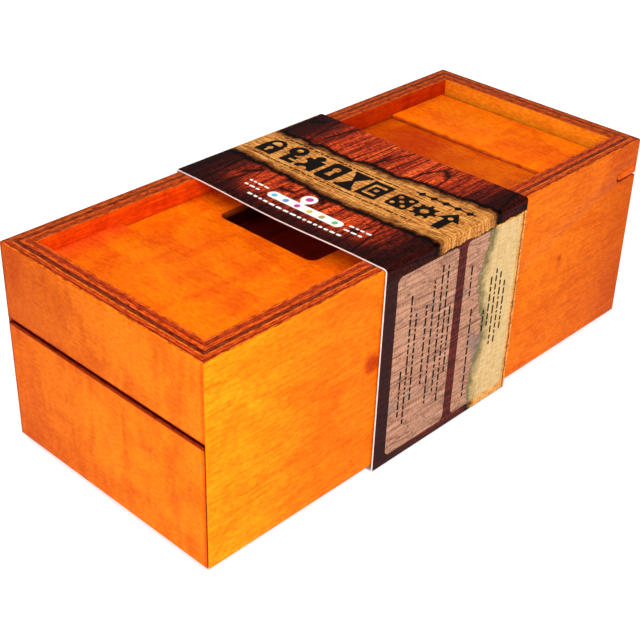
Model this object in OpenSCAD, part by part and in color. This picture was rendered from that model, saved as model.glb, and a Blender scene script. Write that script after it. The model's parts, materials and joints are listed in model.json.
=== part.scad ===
// Wooden puzzle box in a card sleeve: a mitred plywood case with a recessed sliding top,
// a hidden end bar that locks the top, and a drawer that is locked by a bolt inside.
// Row frame: origin under the middle of the box, +X along the box, +Z up.
// Box frame: x from the near end face, y from the near side face, z from the case's underside.

/* [Box] */
// Outer length of the case
box_l = 200; // [190:1:230]
// Outer width of the case
box_w = 88; // [80:1:100]
// Outer height of the case
box_h = 70; // [68:1:76]
// Thickness of the plywood sides and ends
wall = 8; // [7:0.5:9]
// Rounding of the top and upright outer edges
edge_r = 1; // [0.5:0.1:1.5]
// Rounding of the bottom outer edges
bottom_r = 3; // [2:0.1:3.5]

/* [Boards] */
// Thickness of the floor board
floor_t = 3; // [2.5:0.1:3.5]
// Thickness of the divider above the drawer
divider_t = 2.6; // [2:0.1:3]
// Thickness of the sliding panel
panel_t = 2.4; // [2:0.1:2.4]
// Thickness of the thin strips on the recessed top
strip_t = 1.5; // [1:0.1:2]
// Width of the fixed cover strip, from the near inner face
cover_w = 30; // [30:1:34]
// Width of the raised strip at the panel's far end
panel_strip_w = 28; // [24:1:30]
// How far the panel slides under the cover strip
panel_travel = 28; // [20:1:28]

/* [Finger hole] */
// Length of the finger hole along the panel
hole_l = 70; // [50:1:80]
// Width of the finger hole across the panel
hole_w = 41; // [25:1:43]
// How far the hole lies off the box's middle line, towards the far side
hole_off = 2; // [0:0.5:3]
// Corner radius of the finger hole
hole_r = 3; // [2:0.5:6]

/* [End bar] */
// Depth of the routed slot, from the far end face
slot_depth = 12.4; // [12:0.1:12.8]
// Height of the routed slot
slot_h = 4.2; // [4:0.1:4.4]
// Thickness of the end bar
bar_t = 2.8; // [2.4:0.1:2.8]

/* [Drawer] */
// Height of the drawer front
front_h = 43; // [42:0.5:43]
// Gap between the drawer front and the end board above it
seam = 1.4; // [1:0.1:1.6]
// Rounding of the outer edges along that gap
seam_r = 0.6; // [0.3:0.1:0.9]
// Thickness of the drawer's sides and back
tray_t = 5; // [4:0.5:6]
// Thickness of the drawer's bottom
tray_floor_t = 2.5; // [2:0.1:3]
// Diameter of the bolt's peg
peg_d = 5; // [4:0.1:5]

/* [Card sleeve] */
// Length of the sleeve along the box
sleeve_l = 66; // [50:1:80]
// Thickness of the card
card_t = 0.5; // [0.4:0.1:0.6]

/* [Hidden] */
$fn = 64;

outer_ply = "#e07a1c";
top_ply = "#d96a1a";
inner_ply = "#b9642a";
card_print = "#5a1d16";

past = 1;               // how far a cutting solid runs past a face
card_gap = 0.1;         // between the card and the faces it lies on
fold_r = 0.7;           // inner radius of the card's folds
side_gap = 0.6;         // between the card and the box's sides
slide = 0.3;            // gap beside a sliding fit
panel_play = 0.4;       // between the panel's long edges and the bottom of its grooves
near_inset = 0.5;       // where the floor and the panel's grooves start, beside the near end's inner face
groove_d = 3;           // depth of the panel's grooves
housing_d = 2;          // depth of the grooves that hold fixed boards
z_case = card_t + card_gap;
sleeve_x = box_l / 2;   // middle of the sleeve, from the near end

// levels in the box frame
floor_z = 2;
divider_z = front_h + seam;
divider_top = divider_z + divider_t;
inner_room = 9.5;       // height between the divider and the routed slot
bar_under_gap = 1.1;    // open gap left under the end bar
panel_over_slot = 0.1;
slot_z = divider_top + inner_room;
slot_top = slot_z + slot_h;
bar_z = slot_z + bar_under_gap;
panel_z = slot_top + panel_over_slot;
panel_top = panel_z + panel_t;
cover_z = panel_top + slide;
cover_top = cover_z + strip_t;

// stations along the box
inner_x = box_l - wall;
cover_end = wall + cover_w;
panel_near_gap = 0.5;   // left between the panel and the near end when it is fully open
panel_far_gap = 2;      // between the panel and the far end when it is closed
panel_start = wall + panel_travel + panel_near_gap;
panel_end = inner_x - panel_far_gap;
hole_x = box_l / 2 - hole_l / 2;
hole_y = box_w / 2 - hole_w / 2 + hole_off;

// end bar and the hook it catches
bar_nose_gap = 0.8;     // between the bar's round nose and the slot's round end
bar_x = box_l - slot_depth + bar_nose_gap;
hook_block_l = 14;
hook_block_side = 4;    // how far the block is wider than the neck, on each side
hook_neck_w = 6;
hook_neck_y = box_w / 2 - hook_neck_w / 2;
hook_toe_w = 12;
hook_toe_x = inner_x - 1;
hook_toe_t = 3;
hook_play = 0.4;        // between the toe and the bar's lip, and round the toe
mouth_play = 0.5;       // beside the neck and the toe in the bar's mouth
bar_lip_t = hook_toe_x - hook_play - bar_x;
bar_travel = 6;
ledge_t = 3.5;
ledge_l = 60;
ledge_h = 5.4;

// drawer bolt
bolt_from_end = 19;     // from the far end face to the middle of the bolt
bolt_x = box_l - bolt_from_end;
bolt_y = 60;
bolt_travel = 12;
slider_w = 14;
slider_l = 20;
slider_h = 7.5;
slider_top = divider_top + slider_h;
grip_r = 2.5;           // round grooves that a fingertip catches in
grip_inset = 3.5;
grip_lift = 1;
peg_fit = 0.05;         // round the peg in the slider's bore
tongue_w = 1.5;
tongue_h = 2;
run_gap = 0.2;          // under and over the tongues
rail_h = 4;
rail_w = 5.2;
rail_start = bolt_y - 40;
rail_end = bolt_y + 12;

// drawer
tray_play = 0.4;        // under the drawer and beside it
mitre_gap = 0.15;       // between the drawer front and the mitred ends of the long sides
front_glue = 0.15;      // glue line between the drawer front and the drawer's sides
tray_to_bolt = 15;      // from the drawer's back to the middle of the bolt
tray_z = floor_z + floor_t + tray_play;
tray_y = wall + tray_play;
tray_end = bolt_x - tray_to_bolt;
tray_side_h = 35;
tray_floor_lift = 2;
tray_floor_z = tray_z + tray_floor_lift;
tray_groove = 2;
back_gap = 0.8;         // between the drawer's back and the divider
drawer_travel = 120;
stop_w = 6;
stop_h = 3;
stop_l = 44;
hook_h = 6;
hook_lift = 0.2;        // the hook's top over the drawer's sides
hook_z = tray_z + tray_side_h - hook_h + hook_lift;
hook_y = 36;
hook_w = 14;
hook_l = 22;
hook_notch_d = 7;
notch_play = 1.6;       // the notch is this much wider than the peg
peg_lift = 1.5;         // the peg's foot over the hook's underside
peg_inset = 1;          // the peg's head under the slider's top

// moves a shape from the box frame to the row frame
module in_box() {
    translate([-box_l / 2, -box_w / 2, z_case]) children();
}

// a box between two corners
module block(low, high) {
    translate(low) cube([high[0] - low[0], high[1] - low[1], high[2] - low[2]]);
}

// a flat rectangle whose lower corners and upper corners are rounded
module rounded_rect(size, low_r, high_r) {
    w = size[0];
    h = size[1];
    translate([low_r, 0]) square([w - 2 * low_r, h - high_r]);
    translate([high_r, low_r]) square([w - 2 * high_r, h - low_r]);
    translate([0, low_r]) square([w, h - low_r - high_r]);
    for (x = [low_r, w - low_r]) translate([x, low_r]) circle(low_r);
    for (x = [high_r, w - high_r]) translate([x, h - high_r]) circle(high_r);
}

// everything between two levels whose end edges are rounded, seen along Y
module end_profile(z_low, z_high, low_r, high_r) {
    translate([0, box_w + past, z_low]) rotate([90, 0, 0])
        linear_extrude(box_w + 2 * past) rounded_rect([box_l, z_high - z_low], low_r, high_r);
}

// the case's outer shape, with every outer edge rounded
module outer_shape() {
    intersection() {
        linear_extrude(box_h) rounded_rect([box_l, box_w], edge_r, edge_r);
        end_profile(0, box_h, bottom_r, edge_r);
        translate([-past, 0, 0]) rotate([90, 0, 90])
            linear_extrude(box_l + 2 * past) rounded_rect([box_w, box_h], bottom_r, edge_r);
    }
}

// plan of a long side, mitred at both ends
module side_plan() {
    polygon([[0, 0], [box_l, 0], [inner_x, wall], [wall, wall]]);
}

// plan of the near end, mitred at both ends
module end_plan() {
    polygon([[0, 0], [wall, wall], [wall, box_w - wall], [0, box_w]]);
}

// plan of the far end
module far_end_plan() {
    translate([box_l, 0]) mirror([1, 0]) end_plan();
}

// a length of wall between two levels, with the case's rounded edges
module wall_piece(z_low, z_high) {
    intersection() {
        translate([0, 0, z_low]) linear_extrude(z_high - z_low) children();
        outer_shape();
    }
}

// grooves inside a long side for the floor, the divider, the cover strip and the sliding panel
module side_grooves() {
    y_end = wall + past;
    block([-past, wall - housing_d, floor_z], [box_l + past, y_end, floor_z + floor_t]);
    block([-past, wall - housing_d, divider_z], [box_l + past, y_end, divider_top]);
    block([wall - housing_d, wall - housing_d, cover_z], [cover_end, y_end, cover_top]);
    groove_low = panel_z - run_gap;
    groove_high = panel_top + slide;
    end_r = (groove_high - groove_low) / 2;
    groove_end = panel_end + 1 - end_r;
    block([wall - near_inset, wall - groove_d, groove_low], [groove_end, y_end, groove_high]);
    translate([groove_end, y_end, groove_low + end_r]) rotate([90, 0, 0])
        cylinder(h = groove_d + past, r = end_r);
}

// the routed slot round the far end: a flat slot with a round inner end
module end_slot() {
    r = slot_h / 2;
    x_round = box_l - slot_depth + r;
    block([x_round, -past, slot_z], [box_l + past, box_w + past, slot_top]);
    translate([x_round, box_w + past, slot_z + r]) rotate([90, 0, 0])
        cylinder(h = box_w + 2 * past, r = r);
}

// one long side, lying at y = 0
module long_side() {
    difference() {
        wall_piece(0, box_h) side_plan();
        side_grooves();
        end_slot();
    }
}

module side_near() {
    color(outer_ply) in_box() long_side();
}

module side_far() {
    color(outer_ply) in_box() translate([0, box_w, 0]) mirror([0, 1, 0]) long_side();
}

// upper board of the near end, with the housing for the cover strip
module end_near_upper() {
    color(outer_ply) in_box() difference() {
        intersection() {
            wall_piece(divider_z, box_h) end_plan();
            end_profile(divider_z, box_h, seam_r, edge_r);
        }
        block([wall - housing_d, wall - housing_d, cover_z],
              [wall + past, box_w - wall + housing_d, cover_top]);
    }
}

// far end below the slot, grooved for the floor
module end_far_lower() {
    color(outer_ply) in_box() difference() {
        wall_piece(0, slot_z) far_end_plan();
        block([inner_x - past, -past, floor_z], [inner_x + housing_d, box_w + past, floor_z + floor_t]);
    }
}

module end_far_upper() {
    color(outer_ply) in_box() wall_piece(slot_top, box_h) far_end_plan();
}

// fixed strip across the near end of the recessed top
module cover_strip() {
    lip = housing_d;
    color(top_ply) in_box()
        block([wall - lip, wall - lip, cover_z], [cover_end, box_w - wall + lip, cover_top]);
}

module floor_board() {
    color(inner_ply) in_box()
        block([wall + near_inset, wall - housing_d, floor_z],
              [inner_x + housing_d, box_w - wall + housing_d, floor_z + floor_t]);
}

// slot with round ends that lets the bolt's peg through the divider
module peg_slot(r) {
    for (y = [bolt_y - bolt_travel, bolt_y])
        translate([bolt_x, y, divider_z - past]) cylinder(h = divider_t + 2 * past, r = r);
    block([bolt_x - r, bolt_y - bolt_travel, divider_z - past], [bolt_x + r, bolt_y, divider_top + past]);
}

module divider_board() {
    color(inner_ply) in_box() difference() {
        block([wall, wall - housing_d, divider_z], [inner_x, box_w - wall + housing_d, divider_top]);
        peg_slot(peg_d / 2 + slide);
    }
}

// cleat under the divider that the drawer's back meets when the drawer is open
module drawer_stop() {
    x_high = tray_end - tray_t - drawer_travel - slide;
    y_low = (box_w - stop_l) / 2;
    color(inner_ply) in_box()
        block([x_high - stop_w, y_low, divider_z - stop_h], [x_high, y_low + stop_l, divider_z]);
}

// grooved rail along Y; its groove faces +X and starts at x = 0
module bolt_rail(w) {
    difference() {
        block([-w, rail_start, divider_top], [0, rail_end, divider_top + rail_h]);
        block([-tongue_w - slide, rail_start - past, divider_top - past],
              [past, rail_end + past, divider_top + tongue_h + 2 * run_gap]);
    }
}

module bolt_rail_inner() {
    color(inner_ply) in_box() translate([bolt_x - slider_w / 2 - slide, 0, 0]) bolt_rail(rail_w);
}

module bolt_rail_outer() {
    x_face = bolt_x + slider_w / 2 + slide;
    color(inner_ply) in_box() translate([x_face, 0, 0]) mirror([1, 0, 0]) bolt_rail(inner_x - x_face);
}

// ledge on the far end's inner face that carries the end bar
module bar_ledge() {
    y_low = (box_w - ledge_l) / 2;
    z_high = bar_z - run_gap;
    color(inner_ply) in_box()
        block([inner_x - ledge_t, y_low, z_high - ledge_h], [inner_x, y_low + ledge_l, z_high]);
}

// outline of the finger hole
module hole_plan() {
    translate([hole_x, hole_y]) rounded_rect([hole_l, hole_w], hole_r, hole_r);
}

module slotted_panel() {
    in_groove = wall - groove_d + panel_play;
    color(top_ply) in_box() difference() {
        block([panel_start, in_groove, panel_z], [panel_end, box_w - in_groove, panel_top]);
        translate([0, 0, panel_z - past]) linear_extrude(panel_t + 2 * past) hole_plan();
    }
}

module panel_strip() {
    color(top_ply) in_box()
        block([panel_end - panel_strip_w, wall + slide, panel_top],
              [panel_end, box_w - wall - slide, panel_top + strip_t]);
}

// hook glued under the panel: a block, a neck and a toe that points along +Y
module panel_hook() {
    z_low = bar_z;
    y_low = hook_neck_y;
    y_high = y_low + hook_neck_w;
    block_end = bar_x - 1;
    color(inner_ply) in_box() {
        block([block_end - hook_block_l, y_low - hook_block_side, z_low],
              [block_end, y_high + hook_block_side, panel_z]);
        block([block_end, y_low, z_low], [panel_end, y_high, panel_z]);
        block([panel_end, y_low, z_low], [hook_toe_x, y_high, slot_top - run_gap]);
        block([hook_toe_x, y_low, z_low],
              [hook_toe_x + hook_toe_t, y_low + hook_toe_w, slot_top - run_gap]);
    }
}

// flat bar across the far end, with a round nose and a pocket for the panel's hook
module end_bar() {
    r = bar_t / 2;
    mouth_low = hook_neck_y - mouth_play;
    mouth_high = hook_neck_y + hook_toe_w + mouth_play;
    pocket_x = hook_toe_x + hook_toe_t + hook_play;
    color(outer_ply) in_box() intersection() {
        outer_shape();
        difference() {
            union() {
                block([bar_x + r, 0, bar_z], [box_l, box_w, bar_z + bar_t]);
                translate([bar_x + r, box_w, bar_z + r]) rotate([90, 0, 0])
                    cylinder(h = box_w, r = r);
            }
            block([bar_x - past, mouth_low, bar_z - past], [pocket_x, mouth_high, bar_z + bar_t + past]);
            block([bar_x + bar_lip_t, mouth_high - past, bar_z - past],
                  [pocket_x, mouth_high + bar_travel + 2 * mouth_play, bar_z + bar_t + past]);
        }
    }
}

// slider with a tongue along each edge, a finger groove on top and a bore for the peg
module bolt_slider() {
    x_low = bolt_x - slider_w / 2;
    x_high = bolt_x + slider_w / 2;
    y_low = bolt_y - slider_l / 2;
    y_high = bolt_y + slider_l / 2;
    z_low = divider_top + run_gap;
    color(inner_ply) in_box() difference() {
        union() {
            block([x_low, y_low, z_low], [x_high, y_high, slider_top]);
            block([x_low - tongue_w, y_low, z_low], [x_high + tongue_w, y_high, z_low + tongue_h]);
        }
        translate([bolt_x, bolt_y, z_low - past]) cylinder(h = slider_top, r = peg_d / 2 + peg_fit);
        for (y = [y_low + grip_inset, y_high - grip_inset])
            translate([x_low - past, y, slider_top + grip_lift]) rotate([0, 90, 0])
                cylinder(h = slider_w + 2 * past, r = grip_r);
    }
}

module bolt_peg() {
    z_low = hook_z + peg_lift;
    color(inner_ply) in_box() translate([bolt_x, bolt_y, z_low])
        cylinder(h = slider_top - peg_inset - z_low, r = peg_d / 2);
}

// grooves in the drawer's boards that hold its bottom
module tray_groove_cut(low, high) {
    block([low[0], low[1], tray_floor_z], [high[0], high[1], tray_floor_z + tray_floor_t]);
}

// lower board of the near end, drawn a hair clear of the long sides' mitres
module drawer_front() {
    y_groove = tray_y + tray_t - tray_groove;
    color(outer_ply) in_box() difference() {
        intersection() {
            linear_extrude(front_h) polygon([
                [0, 2 * mitre_gap], [wall - mitre_gap, wall + mitre_gap],
                [wall - mitre_gap, box_w - wall - mitre_gap], [0, box_w - 2 * mitre_gap]
            ]);
            outer_shape();
            end_profile(0, front_h, bottom_r, seam_r);
        }
        tray_groove_cut([wall - tray_groove, y_groove], [wall + past, box_w - y_groove]);
    }
}

// one drawer side, lying at y = tray_y
module tray_side() {
    difference() {
        block([wall - front_glue, tray_y, tray_z], [tray_end, tray_y + tray_t, tray_z + tray_side_h]);
        tray_groove_cut([wall - past, tray_y + tray_t - tray_groove],
                        [tray_end - tray_t + tray_groove, tray_y + tray_t + past]);
    }
}

module drawer_side_near() {
    color(inner_ply) in_box() tray_side();
}

module drawer_side_far() {
    color(inner_ply) in_box() translate([0, box_w, 0]) mirror([0, 1, 0]) tray_side();
}

// back board, taller than the sides so that it meets the stop
module drawer_back() {
    y_low = tray_y + tray_t;
    x_low = tray_end - tray_t;
    color(inner_ply) in_box() difference() {
        block([x_low, y_low, tray_z], [tray_end, box_w - y_low, divider_z - back_gap]);
        tray_groove_cut([x_low - past, y_low - past], [x_low + tray_groove, box_w - y_low + past]);
    }
}

module drawer_bottom() {
    y_low = tray_y + tray_t - tray_groove;
    color(inner_ply) in_box()
        block([wall - tray_groove, y_low, tray_floor_z],
              [tray_end - tray_t + tray_groove, box_w - y_low, tray_floor_z + tray_floor_t]);
}

// notched block behind the drawer that the bolt's peg enters from the +Y side
module drawer_hook() {
    notch_w = peg_d + notch_play;
    color(inner_ply) in_box() difference() {
        block([tray_end, hook_y, hook_z], [tray_end + hook_l, hook_y + hook_w, hook_z + hook_h]);
        block([bolt_x - notch_w / 2, hook_y + hook_w - hook_notch_d, hook_z - past],
              [bolt_x + notch_w / 2, hook_y + hook_w + past, hook_z + hook_h + past]);
    }
}

// one strip of card folded round the case
module card_sleeve() {
    in_w = box_w + 2 * side_gap;
    in_h = box_h + 2 * card_gap;
    color(card_print) in_box() translate([sleeve_x - sleeve_l / 2, -side_gap, -card_gap])
        rotate([90, 0, 90]) linear_extrude(sleeve_l) difference() {
            translate([-card_t, -card_t])
                rounded_rect([in_w + 2 * card_t, in_h + 2 * card_t], fold_r + card_t, fold_r + card_t);
            rounded_rect([in_w, in_h], fold_r, fold_r);
        }
}

side_near();
side_far();
end_near_upper();
end_far_lower();
end_far_upper();
cover_strip();
floor_board();
divider_board();
drawer_stop();
bolt_rail_inner();
bolt_rail_outer();
bar_ledge();
slotted_panel();
panel_strip();
panel_hook();
end_bar();
bolt_slider();
bolt_peg();
drawer_front();
drawer_side_near();
drawer_side_far();
drawer_back();
drawer_bottom();
drawer_hook();
card_sleeve();
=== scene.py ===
from dataclasses import dataclass
import json
import math
import random

import bmesh
import bpy
from mathutils import Matrix, Vector, geometry


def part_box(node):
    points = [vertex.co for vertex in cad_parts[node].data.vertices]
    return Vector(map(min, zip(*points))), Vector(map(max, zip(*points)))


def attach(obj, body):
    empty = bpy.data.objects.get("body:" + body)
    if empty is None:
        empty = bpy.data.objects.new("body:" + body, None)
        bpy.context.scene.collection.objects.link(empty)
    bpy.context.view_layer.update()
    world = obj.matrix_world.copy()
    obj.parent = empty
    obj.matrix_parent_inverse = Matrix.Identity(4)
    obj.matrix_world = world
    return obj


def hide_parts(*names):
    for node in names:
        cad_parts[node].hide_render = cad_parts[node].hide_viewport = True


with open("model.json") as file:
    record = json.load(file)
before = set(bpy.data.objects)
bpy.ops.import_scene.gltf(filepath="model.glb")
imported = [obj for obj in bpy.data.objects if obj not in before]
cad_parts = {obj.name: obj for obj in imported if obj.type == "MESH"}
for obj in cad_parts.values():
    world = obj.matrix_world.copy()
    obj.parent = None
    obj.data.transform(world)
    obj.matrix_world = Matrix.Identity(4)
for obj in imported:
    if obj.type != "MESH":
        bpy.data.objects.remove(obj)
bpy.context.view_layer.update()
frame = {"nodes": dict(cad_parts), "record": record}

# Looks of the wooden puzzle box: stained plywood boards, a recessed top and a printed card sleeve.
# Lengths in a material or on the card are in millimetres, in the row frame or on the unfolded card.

MM = 0.001
PRINT_UNIT = 100         # millimetres in one unit of the card's UV map
X, Y, Z = 0, 1, 2
WHITE = (1, 1, 1)
SHEEN = 0.02             # specular level of the satin lacquer and of the printed card


# ---------------------------------------------------------------- camera, lights and floor

CAMERA_PLACE = (-0.27596, -0.24837, 0.25159)
CAMERA_HEADING = math.radians(46.83)   # from +Y towards +X
CAMERA_TILT = math.radians(31.93)      # below the horizon
CAMERA_ROLL = math.radians(1.68)
LENS = 73.53
SENSOR_WIDTH = 36

# each softbox: its place, the point that it aims at, its width and height, and its power
SOFTBOXES = {
    "key": ((-0.32, -0.50, 0.55), (-0.06, 0, 0.04), (0.4, 0.3), 3.5),
    "near_end_fill": ((-0.68, -0.22, 0.32), (-0.09, 0, 0.03), (0.4, 0.3), 1.3),
    "top": ((0.0, 0.1, 1.0), (0, 0, 0), (0.7, 0.7), 4.0),
}
WORLD_LIGHT = 0.42
FLOOR_REACH = 25.0
FLOOR_GREY = (0.52, 0.52, 0.52)
FLOOR_GLOW = 0.66        # brings the pale floor up to white


def add_camera():
    """A camera at the photograph's place: heading and tilt, then a small roll."""
    level = math.cos(CAMERA_TILT)
    forward = Vector((
        math.sin(CAMERA_HEADING) * level, math.cos(CAMERA_HEADING) * level, -math.sin(CAMERA_TILT)
    ))
    flat_right = Vector((math.cos(CAMERA_HEADING), -math.sin(CAMERA_HEADING), 0))
    right = flat_right * math.cos(CAMERA_ROLL) + flat_right.cross(forward) * math.sin(CAMERA_ROLL)
    up = right.cross(forward)
    data = bpy.data.cameras.new("camera")
    data.lens = LENS
    data.sensor_width = SENSOR_WIDTH
    camera = bpy.data.objects.new("camera", data)
    turn = Matrix((right, up, -forward)).transposed().to_4x4()
    camera.matrix_world = Matrix.Translation(CAMERA_PLACE) @ turn
    bpy.context.scene.collection.objects.link(camera)
    bpy.context.scene.camera = camera


def add_softbox(name, place, aim, size, power):
    data = bpy.data.lights.new(name, "AREA")
    data.shape = "RECTANGLE"
    data.size, data.size_y = size
    data.energy = power
    light = bpy.data.objects.new(name, data)
    light.location = place
    light.rotation_euler = (Vector(aim) - Vector(place)).to_track_quat("-Z", "Y").to_euler()
    bpy.context.scene.collection.objects.link(light)


def add_floor():
    mesh = bpy.data.meshes.new("floor")
    r = FLOOR_REACH
    mesh.from_pydata([(-r, -r, 0), (r, -r, 0), (r, r, 0), (-r, r, 0)], [], [(0, 1, 2, 3)])
    floor = bpy.data.objects.new("floor", mesh)
    bpy.context.scene.collection.objects.link(floor)
    net = Net("floor_white")
    net.set("Base Color", FLOOR_GREY)
    net.set("Roughness", 0.7)
    net.set("Specular IOR Level", 0.1)
    net.set("Emission Color", WHITE)
    net.set("Emission Strength", FLOOR_GLOW)
    mesh.materials.append(net.material)


def add_studio():
    """Soft light from three boxes and a white world, over a plain white floor."""
    scene = bpy.context.scene
    scene.view_settings.view_transform = "Standard"
    world = bpy.data.worlds.new("studio")
    world.use_nodes = True
    background = world.node_tree.nodes["Background"]
    background.inputs["Color"].default_value = (*WHITE, 1)
    background.inputs["Strength"].default_value = WORLD_LIGHT
    scene.world = world
    for name, (place, aim, size, power) in SOFTBOXES.items():
        add_softbox(name, place, aim, size, power)
    add_floor()


# ---------------------------------------------------------------- node trees as arithmetic

class Val:
    """A socket that can be added, multiplied and compared like a number."""

    def __init__(self, net, socket):
        self.net = net
        self.socket = socket

    def __add__(self, other):
        return self.net.math("ADD", self, other)

    def __sub__(self, other):
        return self.net.math("SUBTRACT", self, other)

    def __rsub__(self, other):
        return self.net.math("SUBTRACT", other, self)

    def __mul__(self, other):
        return self.net.math("MULTIPLY", self, other)

    def __truediv__(self, other):
        return self.net.math("DIVIDE", self, other)

    def __abs__(self):
        return self.net.math("ABSOLUTE", self)

    __radd__ = __add__
    __rmul__ = __mul__


class Net:
    """One material's node tree. A colour is three numbers or a Val."""

    def __init__(self, name):
        self.material = bpy.data.materials.new(name)
        self.material.use_nodes = True
        self.nodes = self.material.node_tree.nodes
        self.links = self.material.node_tree.links
        self.shader = self.nodes["Principled BSDF"]

    def put(self, socket, value):
        if isinstance(value, Val):
            self.links.new(value.socket, socket)
        elif isinstance(value, tuple):
            socket.default_value = (*value, 1)
        else:
            socket.default_value = value

    def set(self, name, value):
        self.put(self.shader.inputs[name], value)

    def add(self, kind, **settings):
        node = self.nodes.new(kind)
        for key, value in settings.items():
            setattr(node, key, value)
        return node

    def math(self, operation, *values):
        node = self.add("ShaderNodeMath", operation=operation)
        for socket, value in zip(node.inputs, values):
            self.put(socket, value)
        return Val(self, node.outputs[0])

    def lower(self, a, b):
        return self.math("MINIMUM", a, b)

    def higher(self, a, b):
        return self.math("MAXIMUM", a, b)

    def wave(self, value, length, phase=0.0):
        """-1 to 1, once every length."""
        return self.math("SINE", value * (2 * math.pi / length) + phase)

    def step(self, value, low, high, first=0.0, last=1.0):
        """first below low, last above high, and smooth between them."""
        node = self.add("ShaderNodeMapRange", interpolation_type="SMOOTHSTEP")
        for socket, v in zip(node.inputs, (value, low, high, first, last)):
            self.put(socket, v)
        return Val(self, node.outputs[0])

    def split(self, vector):
        node = self.add("ShaderNodeSeparateXYZ")
        self.put(node.inputs[0], vector)
        return [Val(self, out) for out in node.outputs]

    def join(self, x, y, z):
        node = self.add("ShaderNodeCombineXYZ")
        for socket, value in zip(node.inputs, (x, y, z)):
            self.put(socket, value)
        return Val(self, node.outputs[0])

    def coordinates(self, kind):
        return self.split(Val(self, self.add("ShaderNodeTexCoord").outputs[kind]))

    def place(self):
        """The surface point in millimetres, as three numbers."""
        return [v * (1 / MM) for v in self.coordinates("Object")]

    def normal(self):
        return self.coordinates("Normal")

    def flat_place(self):
        """The point on the unfolded card in millimetres: along the box, and round it."""
        u, v, _ = self.coordinates("UV")
        return u * PRINT_UNIT, v * PRINT_UNIT

    def noise(self, x, y, z, detail, rough=0.55, bend=0.0):
        node = self.add("ShaderNodeTexNoise")
        self.put(node.inputs["Vector"], self.join(x, y, z))
        for key, value in (("Scale", 1.0), ("Detail", detail), ("Roughness", rough), ("Distortion", bend)):
            node.inputs[key].default_value = value
        return Val(self, node.outputs[0])

    def cracks(self, x, y, z):
        """Distance to the nearest edge between random cells."""
        node = self.add("ShaderNodeTexVoronoi", feature="DISTANCE_TO_EDGE")
        self.put(node.inputs["Vector"], self.join(x, y, z))
        node.inputs["Scale"].default_value = 1.0
        return Val(self, node.outputs["Distance"])

    def blend(self, first, last, share, **settings):
        node = self.add("ShaderNodeMix", data_type="RGBA", **settings)
        self.put(node.inputs[0], share)
        self.put(node.inputs[6], first)
        self.put(node.inputs[7], last)
        return Val(self, node.outputs[2])

    def mix(self, first, last, share):
        """A colour from first to last."""
        return self.blend(first, last, share)

    def tint(self, colour, other, strength=1.0):
        """colour multiplied by other."""
        return self.blend(colour, other, strength, blend_type="MULTIPLY")

    def stain(self, colour, first, last, share, strength=1.0):
        """colour multiplied by a colour that goes from first to last."""
        return self.tint(colour, self.mix(first, last, share), strength)

    def ramp(self, value, stops):
        node = self.add("ShaderNodeValToRGB")
        self.put(node.inputs[0], value)
        elements = node.color_ramp.elements
        while len(elements) < len(stops):
            elements.new(0.5)
        for element, (at, colour) in zip(elements, stops):
            element.position = at
            element.color = (*colour, 1)
        return Val(self, node.outputs[0])

    def bump(self, height, depth_mm):
        node = self.add("ShaderNodeBump")
        self.put(node.inputs["Height"], height)
        node.inputs["Strength"].default_value = 1.0
        node.inputs["Distance"].default_value = depth_mm * MM
        self.set("Normal", Val(self, node.outputs[0]))


# ---------------------------------------------------------------- wood

# where each layer of the plywood ends, from the outer face (0) to the inner face (1), and its colour
PLIES = [
    (0.00, (0.95, 0.230, 0.012)),
    (0.08, (0.80, 0.110, 0.006)),
    (0.10, (0.20, 0.010, 0.002)),
    (0.14, (0.22, 0.012, 0.002)),
    (0.17, (0.74, 0.070, 0.004)),
    (0.28, (0.58, 0.040, 0.003)),
    (0.31, (0.92, 0.210, 0.008)),
    (0.35, (0.80, 0.110, 0.005)),
    (0.37, (0.20, 0.018, 0.006)),
    (0.53, (0.13, 0.009, 0.004)),
    (0.56, (0.88, 0.095, 0.003)),
    (0.70, (0.80, 0.075, 0.003)),
    (0.72, (0.26, 0.012, 0.002)),
    (0.76, (0.42, 0.030, 0.004)),
    (0.88, (0.52, 0.042, 0.004)),
    (0.91, (0.86, 0.105, 0.004)),
    (1.00, (0.92, 0.140, 0.005)),
]
MEAN_PLY = (0.44, 0.068, 0.014)
PLY_WAVE = 0.12          # waves per mm of the wobble in the layers
PLY_WOBBLE = 0.05        # and its depth, as a share of the board's thickness

# darker and lighter stain of each kind of face
ORANGE = ((0.78, 0.132, 0.002), (0.96, 0.222, 0.005))
# the next stain is the orange one made lighter and yellower: painted light, for faces that the lamps light
# brightly
PAINTED_LIT_YELLOW = ((0.84, 0.225, 0.002), (0.98, 0.350, 0.005))
AMBER = ((0.84, 0.200, 0.006), (0.94, 0.290, 0.010))
RED = ((0.66, 0.040, 0.002), (0.95, 0.095, 0.002))
TOP = ((0.80, 0.100, 0.001), (1.00, 0.190, 0.001))
BROWN = ((0.16, 0.040, 0.012), (0.36, 0.105, 0.030))
DEEP_RED = ((0.26, 0.012, 0.004), (0.55, 0.030, 0.008))

PORE = (0.80, 0.62, 0.55)
PORE_STRENGTH = 0.55
MOTTLE = ((0.88, 0.76, 0.7), (1.05, 1.12, 1.1))
LIGHT_SPECK = (1.12, 1.25, 1.2)
DARK_SPECK = {True: (0.38, 0.22, 0.2), False: (0.80, 0.70, 0.65)}   # with and without layers

# noises in the grain: waves per mm along and across the board, detail, roughness and distortion
GRAIN = {
    "fine": (0.05, 1.3, 5.0, 0.62, 0.25),
    "pores": (0.5, 4.0, 3.0, 0.6, 0.0),
    "figure": (0.030, 0.06, 4.0, 0.55, 1.0),
    "curl": (0.16, 0.045, 2.0, 0.5, 0.6),
    "mottle": (0.45, 1.1, 4.0, 0.75, 0.0),
    "speck": (0.35, 1.6, 4.0, 0.7, 0.0),
}
SEED_STEP = 37.0         # how far apart two boards' patterns lie
WOOD_RELIEF = 0.035      # depth of the open grain

SANDED = 0.14            # width of the small round on every board's edges


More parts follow.
